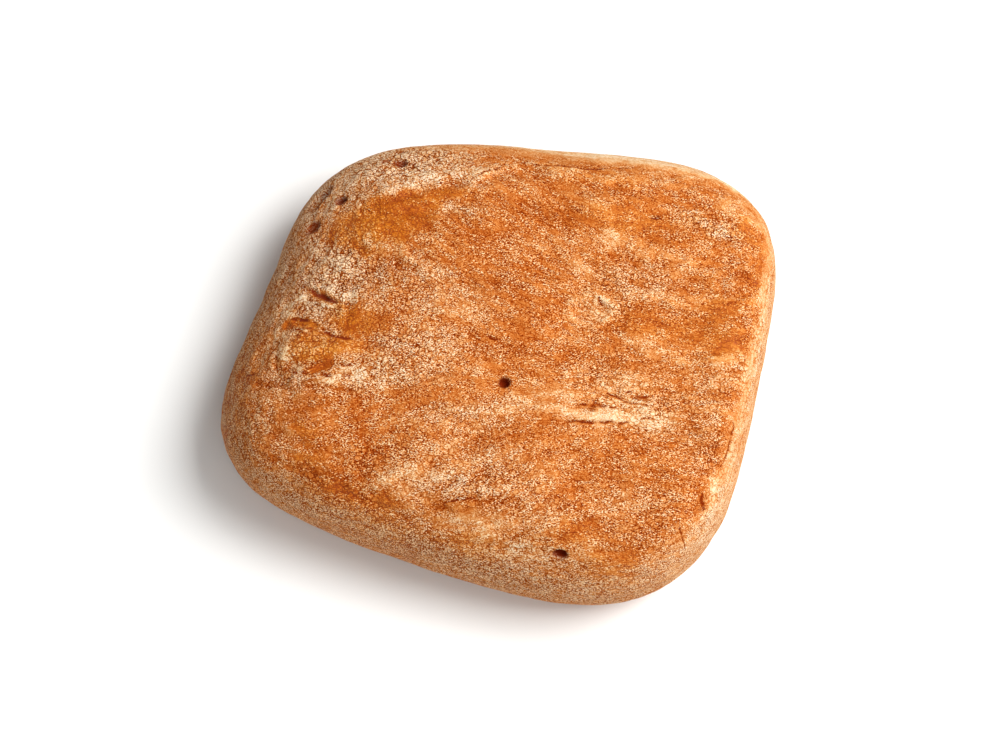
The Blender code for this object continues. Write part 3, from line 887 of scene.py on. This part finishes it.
def normals_of(mesh, points):
    """Writes these points to the mesh and returns its vertex normals."""
    mesh.vertices.foreach_set("co", points.astype(np.float32).ravel())
    mesh.update()
    normals = np.empty(len(points) * 3, np.float32)
    mesh.vertex_normals.foreach_get("vector", normals)
    return normals.reshape(-1, 3).astype(float)


def store(mesh, name, values):
    """Keeps one number for each vertex as an attribute, which the crust's material reads."""
    mesh.attributes.new(name, "FLOAT", "POINT").data.foreach_set("value", values.astype(np.float32))


def store_places(mesh, name, places):
    """Keeps a place for each vertex as an attribute, for patterns that follow it instead of the mesh."""
    places = (places * MM).astype(np.float32).ravel()
    mesh.attributes.new(name, "FLOAT_VECTOR", "POINT").data.foreach_set("vector", places)


def finish_shares(points, normals, spot):
    """How much of each finish every point has, 0 to 1, by its name: the steep wall, the cut sides, and
    the patches. The bare spots have no flour or cream, and are amber."""
    facing = np.abs(normals[:, 2])
    upward = smoothstep(*UPPER_SKIN, normals[:, 2])
    amber = patches(points, AMBER, PATCH_SEEDS["amber"]) * upward
    floured = patches(points, FLOURED, PATCH_SEEDS["floured"]) * upward
    cream = patches(points, CREAM, PATCH_SEEDS["cream"], CREAM_RAGGEDNESS) * upward
    return {
        "bare": 1.0,
        "spot": spot,
        "steep": 1 - smoothstep(*STEEP_SKIN, facing),
        "cut_side": (1 - smoothstep(*CUT_SKIN, facing)) * by_side(CUT_SIDES, unit(normals[:, :2] + TINY)),
        "floured": floured * (1 - AMBER_BARENESS * amber) * (1 - spot),
        "cream": cream * (1 - spot),
        "amber": np.maximum(amber, spot),
        "reddish": patches(points, REDDISH, PATCH_SEEDS["reddish"]) * upward,
        "rough": patches(points, ROUGH, PATCH_SEEDS["rough"]),
    }


def skin_relief(points, flow, shares):
    """Height of the skin's own relief: folds, blisters, flour grain and crags along the flow of the
    dough, which give way to ripples on the steep wall. It is low on the cut sides, and 0 underneath."""
    height = creased_layers(flow, FINE_FOLDS)
    height += soft_layers(flow, BLISTERS) * (1 - AMBER_SMOOTHNESS * shares["amber"])
    height += soft_layers(flow, FLOUR_GRAIN) * (BARE_GRAIN + shares["floured"])
    height += creased_layers(flow, CRAGS) * shares["rough"] * CRAG_SHARE
    height += (creased_layers(points[:, [2, 0, 1]], WALL_FOLDS) - height) * shares["steep"]
    return height * (1 - CUT_SIDE_SMOOTHNESS * shares["cut_side"]) * free_of_floor(points)


def weighed(weights, shares):
    """The sum of these shares of the crust's finishes, each times its weight."""
    return sum(weight * shares[name] for name, weight in weights.items())


def make_crust(node_box):
    """The roll's crust: the smooth form, displaced along its normals by the broad relief, centred in the
    node's box, and displaced again by the skin's own relief, named folds, holes and cracks. Each vertex
    keeps the numbers that the material reads: its lightness, with painted light and shade from its height,
    the strength of its grain and crazing, its finishes, how dark a hole it is in, partly painted shade, and
    where it lies beside a crack."""
    points, faces = crust_grid()
    mesh = bpy.data.meshes.new("crust")
    mesh.from_pydata(points.tolist(), [], faces)
    normals = normals_of(mesh, points)
    points += normals * broad_relief(points, normals)[:, None]
    low, high = points.min(0), points.max(0)
    node_low, node_high = (np.array(corner) / MM for corner in node_box)
    points += (node_low + node_high - low - high) / 2 * [1, 1, 0] - low * [0, 0, 1]

    normals = normals_of(mesh, points)
    hole_depth, hollow = dents(points, normals, HOLES)
    spot_depth, spot = dents(points, normals, BARE_SPOTS)
    crack_depth, lips, crack_aside, crack_near = crack_lines(points, normals)
    shares = finish_shares(points, normals, spot)
    flow = flow_lines(points)
    height = skin_relief(points, flow, shares) + fold_heights(points, normals) + LIP_HEIGHT * lips
    points += normals * (height - hole_depth - spot_depth - crack_depth)[:, None]
    points[:, 2] = np.maximum(points[:, 2], 0)
    normals_of(mesh, points * MM)

    # The height paints light on raised skin and shade in troughs, through the lightness.
    shares["height"] = height
    store_places(mesh, "flow", flow)
    for name, weights in (("tone", TONE), ("grain", GRAIN), ("crazing", CRAZING)):
        store(mesh, name, weighed(weights, shares))
    for name in ("steep", "cut_side", "cream", "amber"):
        store(mesh, name, shares[name])
    store(mesh, "floured", np.maximum(shares["floured"], CREAM_FLOUR * shares["cream"]))
    # How dark a hole is painted inside: partly the crust's brown, partly painted shade.
    store(mesh, "hollow", hollow)
    store(mesh, "crack_aside", crack_aside)
    store(mesh, "crack_near", crack_near)
    mesh.shade_smooth()
    crust = bpy.data.objects.new("crust", mesh)
    bpy.context.scene.collection.objects.link(crust)
    return crust


# --- Materials ----------------------------------------------------------------------------------------


def linear(hex_colour):
    """The linear RGBA of an sRGB hex colour."""
    parts = [int(hex_colour[digit : digit + 2], 16) / 255 for digit in (1, 3, 5)]
    parts = [part / 12.92 if part <= 0.04045 else ((part + 0.055) / 1.055) ** 2.4 for part in parts]
    return (*parts, 1.0)


def per_mm(size):
    """The scale of a pattern whose cells are this many millimetres wide, on coordinates in metres."""
    return 1 / (size * MM)


def add(tree, kind, inputs=None, **settings):
    """Adds a node with its settings, sets or links its inputs, each named or numbered among those in
    use, and returns its first output in use."""
    made = tree.nodes.new(kind)
    for name, value in settings.items():
        setattr(made, name, value)
    for key, value in (inputs or {}).items():
        used = [socket for socket in made.inputs if socket.enabled]
        if isinstance(key, int):
            target = used[key]
        else:
            target = next(socket for socket in used if socket.name == key)
        if isinstance(value, bpy.types.NodeSocket):
            tree.links.new(value, target)
        else:
            target.default_value = value
    return next(socket for socket in made.outputs if socket.enabled)


def bake_clouds(tree, place, stretched, steep):
    """Paler and browner clouds of the bake: drawn out along the dough's flow on top, and along the rim
    on the wall."""
    along_rim = add(tree, "ShaderNodeMapping",
                    {"Vector": place, "Scale": (RIM_STRETCH, RIM_STRETCH, 1.0)}, vector_type="TEXTURE")
    top_clouds = add(tree, "ShaderNodeTexNoise",
                     {"Vector": stretched, "Scale": per_mm(TOP_CLOUD), "Detail": 3.0, "Roughness": 0.65})
    wall_clouds = add(tree, "ShaderNodeTexNoise",
                      {"Vector": along_rim, "Scale": per_mm(WALL_CLOUD), "Detail": 3.0, "Roughness": 0.85})
    wall_clouds = add(tree, "ShaderNodeMapRange",
                      {"Value": wall_clouds, "From Min": 0.25, "From Max": 0.75})
    return add(tree, "ShaderNodeMix", {"Factor": steep, "A": top_clouds, "B": wall_clouds})


def dried_flour(tree, place, smears):
    """(grain, pits, flour): the noise of single grains, the dark pits between clumps of them, and how
    much paler or darker the flour is at each point. Most grains are faint and a few are strong, because
    what a grain differs from the mean is scaled up the more it differs. The flour lies thicker where the
    smears are pale. It was combed along the folds, so its grains are drawn longer than they are broad."""
    combed = add(tree, "ShaderNodeMapping",
                 {"Vector": place, "Rotation": (0.0, 0.0, FOLD_BEARING),
                  "Scale": (COMBED_STRETCH, 1.0, 1.0)},
                 vector_type="TEXTURE")
    grain = add(tree, "ShaderNodeTexNoise",
                {"Vector": combed, "Scale": per_mm(GRAIN_WIDTH), "Detail": 0.0})
    clumps = add(tree, "ShaderNodeTexNoise",
                 {"Vector": combed, "Scale": per_mm(CLUMP_WIDTH), "Detail": 0.0})
    specks = add(tree, "ShaderNodeMapRange", {"Value": clumps, "From Min": 0.68, "From Max": 0.75},
                 interpolation_type="SMOOTHSTEP")
    pits = add(tree, "ShaderNodeMapRange", {"Value": clumps, "From Min": 0.34, "From Max": 0.27},
               interpolation_type="SMOOTHSTEP")

    flour = add(tree, "ShaderNodeMath", {0: specks, 1: SPECK_STRENGTH, 2: -SPECK_MEAN},
                operation="MULTIPLY_ADD")
    uneven = add(tree, "ShaderNodeMath", {0: grain, 1: 0.5}, operation="SUBTRACT")
    sharpness = add(tree, "ShaderNodeMath", {0: uneven}, operation="ABSOLUTE")
    sharpness = add(tree, "ShaderNodeMath", {0: sharpness, 1: GRAIN_SHARPNESS, 2: GRAIN_GAIN},
                    operation="MULTIPLY_ADD")
    flour = add(tree, "ShaderNodeMath", {0: uneven, 1: sharpness, 2: flour}, operation="MULTIPLY_ADD")
    thickness = add(tree, "ShaderNodeMapRange",
                    {"Value": smears, "From Min": 0.36, "From Max": 0.64, "To Min": 0.35, "To Max": 1.7})
    flour = add(tree, "ShaderNodeMath", {0: flour, 1: thickness}, operation="MULTIPLY")
    return grain, pits, flour


def crazed_skin(tree, place, pits, broken):
    """Dark lines between plates of dry skin about a millimetre wide: the borders of cells, on coordinates
    that noise has pushed about. They break off where the smears are pale, and join the pits."""
    push = add(tree, "ShaderNodeTexNoise",
               {"Vector": place, "Scale": per_mm(CRAZING_BEND_WIDTH), "Detail": 1.0})
    pushed = add(tree, "ShaderNodeVectorMath",
                 {0: push.node.outputs["Color"], 1: (CRAZING_BEND * MM,) * 3, 2: place},
                 operation="MULTIPLY_ADD")
    border_distance = add(tree, "ShaderNodeTexVoronoi", {"Vector": pushed, "Scale": per_mm(CRAZING_WIDTH)},
                          feature="DISTANCE_TO_EDGE")
    lines = add(tree, "ShaderNodeMapRange", {"Value": border_distance, "From Min": 0.13, "From Max": 0.03},
                interpolation_type="SMOOTHSTEP")
    lines = add(tree, "ShaderNodeMath", {0: lines, 1: broken}, operation="MULTIPLY")
    return add(tree, "ShaderNodeMath", {0: lines, 1: pits}, operation="MAXIMUM")


def stretch_creases(tree, flow, broken):
    """Long thin lines drawn out along the flow, where slow noise crosses its mean."""
    drawn = add(tree, "ShaderNodeMapping", {"Vector": flow, "Scale": (CREASE_STRETCH, 1.0, 1.0)},
                vector_type="TEXTURE")
    creases = add(tree, "ShaderNodeTexNoise",
                  {"Vector": drawn, "Scale": per_mm(CREASE_WIDTH), "Detail": 2.0, "Roughness": 0.6})
    creases = add(tree, "ShaderNodeMath", {0: creases, 1: 0.5}, operation="SUBTRACT")
    creases = add(tree, "ShaderNodeMath", {0: creases}, operation="ABSOLUTE")
    creases = add(tree, "ShaderNodeMapRange",
                  {"Value": creases, "From Min": 0.03, "From Max": 0.005, "To Max": 0.22},
                  interpolation_type="SMOOTHSTEP")
    return add(tree, "ShaderNodeMath", {0: creases, 1: broken}, operation="MULTIPLY")


def torn_cracks(tree, smears, grain, crack_aside, crack_near):
    """(crack, browned): 1 inside a crack, where the distance across it, made ragged by smears and
    grain, is below its half width, and the browner borders that fade out a little further away."""
    torn = add(tree, "ShaderNodeMath", {0: smears, 1: grain}, operation="ADD")
    torn = add(tree, "ShaderNodeMath", {0: torn, 1: TEAR_RAGGEDNESS, 2: crack_aside},
               operation="MULTIPLY_ADD")
    torn = add(tree, "ShaderNodeMath", {0: torn, 1: TEAR_RAGGEDNESS}, operation="SUBTRACT")
    torn = add(tree, "ShaderNodeMath", {0: torn}, operation="ABSOLUTE")
    crack = add(tree, "ShaderNodeMapRange", {"Value": torn, "From Min": 1.0, "From Max": 0.5},
                interpolation_type="SMOOTHSTEP")
    crack = add(tree, "ShaderNodeMath", {0: crack, 1: crack_near}, operation="MULTIPLY")
    browned = add(tree, "ShaderNodeMapRange",
                  {"Value": torn, "From Min": 3.2, "From Max": 0.8, "To Max": 0.5},
                  interpolation_type="SMOOTHSTEP")
    browned = add(tree, "ShaderNodeMath", {0: browned, 1: crack_near}, operation="MULTIPLY")
    return crack, browned


def skin_colour(tree, lightness, floured, cut_side, amber):
    """The colour of the skin at this lightness: bare, floured or amber. The cut sides are dusted too."""
    skins = []
    for colours in (BARE_COLOURS, FLOURED_COLOURS, AMBER_COLOURS):
        skins.append(add(tree, "ShaderNodeValToRGB", {"Fac": lightness}))
        ramp = skins[-1].node.color_ramp
        last = len(colours) - 1
        for step in range(1, last):
            ramp.elements.new(step / last)
        for stop, colour in zip(ramp.elements, colours):
            stop.color = linear(colour)
    dusted = add(tree, "ShaderNodeMath", {0: cut_side, 1: CUT_SIDE_FLOUR}, operation="MULTIPLY")
    dusted = add(tree, "ShaderNodeMath", {0: floured, 1: dusted}, operation="MAXIMUM")
    skin = add(tree, "ShaderNodeMix", {"Factor": dusted, "A": skins[0], "B": skins[1]}, data_type="RGBA")
    return add(tree, "ShaderNodeMix", {"Factor": amber, "A": skin, "B": skins[2]}, data_type="RGBA")


def baked_wheat_crust():
    """Wheat dough baked brown under a dusting of flour: dull and dry, with a faint gloss only where the
    bare skin has gone amber. The flour's grains are paler and darker than the skin, which crazes into
    plates about a millimetre wide. Raised places are painted paler than hollows, as painted light and
    shade, and holes and cracks are painted dark, partly the crust's own brown and partly painted shade."""
    material = bpy.data.materials.new("baked_wheat_crust")
    material.use_nodes = True
    tree = material.node_tree
    place = add(tree, "ShaderNodeTexCoord").node.outputs["Object"]
    flow = add(tree, "ShaderNodeAttribute", attribute_name="flow").node.outputs["Vector"]
    tone, strength, crazing, cream, floured, cut_side, amber, steep, hollow, crack_aside, crack_near = (
        add(tree, "ShaderNodeAttribute", attribute_name=name).node.outputs["Fac"]
        for name in ("tone", "grain", "crazing", "cream", "floured", "cut_side", "amber", "steep", "hollow",
                     "crack_aside", "crack_near")
    )

    stretched = add(tree, "ShaderNodeMapping", {"Vector": flow, "Scale": (SMEAR_STRETCH, 1.0, 1.0)},
                    vector_type="TEXTURE")
    smears = add(tree, "ShaderNodeTexNoise",
                 {"Vector": stretched, "Scale": per_mm(SMEAR), "Detail": 2.0, "Roughness": 0.7})
    broken = add(tree, "ShaderNodeMapRange", {"Value": smears, "From Min": 0.66, "From Max": 0.50},
                 interpolation_type="SMOOTHSTEP")
    clouds = bake_clouds(tree, place, stretched, steep)
    grain, pits, flour = dried_flour(tree, place, smears)
    crack, browned = torn_cracks(tree, smears, grain, crack_aside, crack_near)

    lines = crazed_skin(tree, place, pits, broken)
    lines = add(tree, "ShaderNodeMath", {0: lines, 1: crazing}, operation="MULTIPLY")
    creases = stretch_creases(tree, flow, broken)
    lines = add(tree, "ShaderNodeMath", {0: lines, 1: creases}, operation="MAXIMUM")
    lines = add(tree, "ShaderNodeMath", {0: lines, 1: browned}, operation="MAXIMUM")

    # Cream plates of paste-like flour have sharp, ragged borders.
    plates = add(tree, "ShaderNodeMath", {0: smears, 1: PLATE_RAGGEDNESS, 2: cream},
                 operation="MULTIPLY_ADD")
    plates = add(tree, "ShaderNodeMapRange", {"Value": plates, "From Min": 1.12, "From Max": 1.28},
                 interpolation_type="SMOOTHSTEP")

    cloudy = add(tree, "ShaderNodeMath", {0: clouds, 1: CLOUD_STRENGTH, 2: -CLOUD_STRENGTH / 2},
                 operation="MULTIPLY_ADD")
    broad = add(tree, "ShaderNodeMath", {0: tone, 1: cloudy}, operation="ADD")
    broad = add(tree, "ShaderNodeMath", {0: plates, 1: PLATE_STRENGTH, 2: broad},
                operation="MULTIPLY_ADD")
    broad = add(tree, "ShaderNodeMath", {0: broad, 1: lines}, operation="SUBTRACT")
    lightness = add(tree, "ShaderNodeMath", {0: flour, 1: strength, 2: broad}, operation="MULTIPLY_ADD")

    skin = skin_colour(tree, lightness, floured, cut_side, amber)
    # Holes and cracks are painted dark brown: partly the bared crust, partly painted shade inside them.
    dark_and_shaded = add(tree, "ShaderNodeMath", {0: crack, 1: hollow}, operation="MAXIMUM")
    coloured = add(tree, "ShaderNodeMix", {"Factor": dark_and_shaded, "A": skin, "B": linear(HOLLOW_AND_SHADE_COLOUR)},
                   data_type="RGBA")

    relief = add(tree, "ShaderNodeMath", {0: flour, 1: FLOUR_RELIEF, 2: broad},
                 operation="MULTIPLY_ADD")
    bump = add(tree, "ShaderNodeBump", {"Strength": 1.0, "Distance": SKIN_DEPTH * MM, "Height": relief})
    roughness = add(tree, "ShaderNodeMapRange", {"Value": amber, "To Min": 0.9, "To Max": 0.5})
    gloss = add(tree, "ShaderNodeMapRange", {"Value": amber, "To Min": 0.0, "To Max": 0.2})
    shader = tree.nodes["Principled BSDF"]
    tree.links.new(coloured, shader.inputs["Base Color"])
    tree.links.new(roughness, shader.inputs["Roughness"])
    tree.links.new(bump, shader.inputs["Normal"])
    tree.links.new(gloss, shader.inputs["Specular IOR Level"])
    return material


def pale_floor_paint():
    """Matt white paint on a smooth board: pale and even, with no gloss to mirror the roll."""
    material = bpy.data.materials.new("pale_floor_paint")
    material.use_nodes = True
    shader = material.node_tree.nodes["Principled BSDF"]
    shader.inputs["Base Color"].default_value = linear(FLOOR_COLOUR)
    shader.inputs["Roughness"].default_value = 0.9
    return material


# --- Stage --------------------------------------------------------------------------------------------


def add_floor():
    """A level plane that the roll lies on."""
    bpy.ops.mesh.primitive_plane_add(size=FLOOR_SIZE)
    floor = bpy.context.object
    floor.name = "floor"
    floor.data.materials.append(pale_floor_paint())


def direction(azimuth, elevation):
    """The way from the roll to something seen at this azimuth and elevation, in the camera's terms."""
    return Vector((
        math.sin(azimuth) * math.cos(elevation),
        -math.cos(azimuth) * math.cos(elevation),
        math.sin(elevation),
    ))


def add_softbox(name, azimuth, elevation, distance, size, power):
    """A square area light, aimed at the roll, of this size and distance in metres."""
    light = bpy.data.lights.new(name, "AREA")
    light.size = size
    light.energy = power
    lamp = bpy.data.objects.new(name, light)
    away = direction(math.radians(azimuth), math.radians(elevation))
    lamp.location = away * distance
    lamp.rotation_euler = away.to_track_quat("Z", "Y").to_euler()
    bpy.context.scene.collection.objects.link(lamp)


def add_camera():
    """The photograph's camera: almost overhead, turned a little to the roll's right."""
    data = bpy.data.cameras.new("camera")
    data.lens = LENS
    camera = bpy.data.objects.new("camera", data)
    away = direction(CAMERA_AZIMUTH, CAMERA_ELEVATION)
    camera.location = (Vector(CAMERA_TARGET) + away * CAMERA_DISTANCE) * MM
    camera.rotation_euler = away.to_track_quat("Z", "Y").to_euler()
    bpy.context.scene.collection.objects.link(camera)
    bpy.context.scene.camera = camera


def add_surroundings():
    """An even white sky that lightens the shadows, and plain colours in the picture."""
    world = bpy.data.worlds.new("studio")
    world.use_nodes = True
    background = world.node_tree.nodes["Background"]
    background.inputs["Color"].default_value = (1.0, 1.0, 1.0, 1.0)
    background.inputs["Strength"].default_value = SKY_STRENGTH
    bpy.context.scene.world = world
    bpy.context.scene.view_settings.view_transform = "Standard"


crust = make_crust(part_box("ciabatta_roll"))
crust.data.materials.append(baked_wheat_crust())
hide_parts("ciabatta_roll")
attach(crust, "root")

add_floor()
for name, placing in SOFTBOXES.items():
    add_softbox(name, *placing)
add_camera()
add_surroundings()
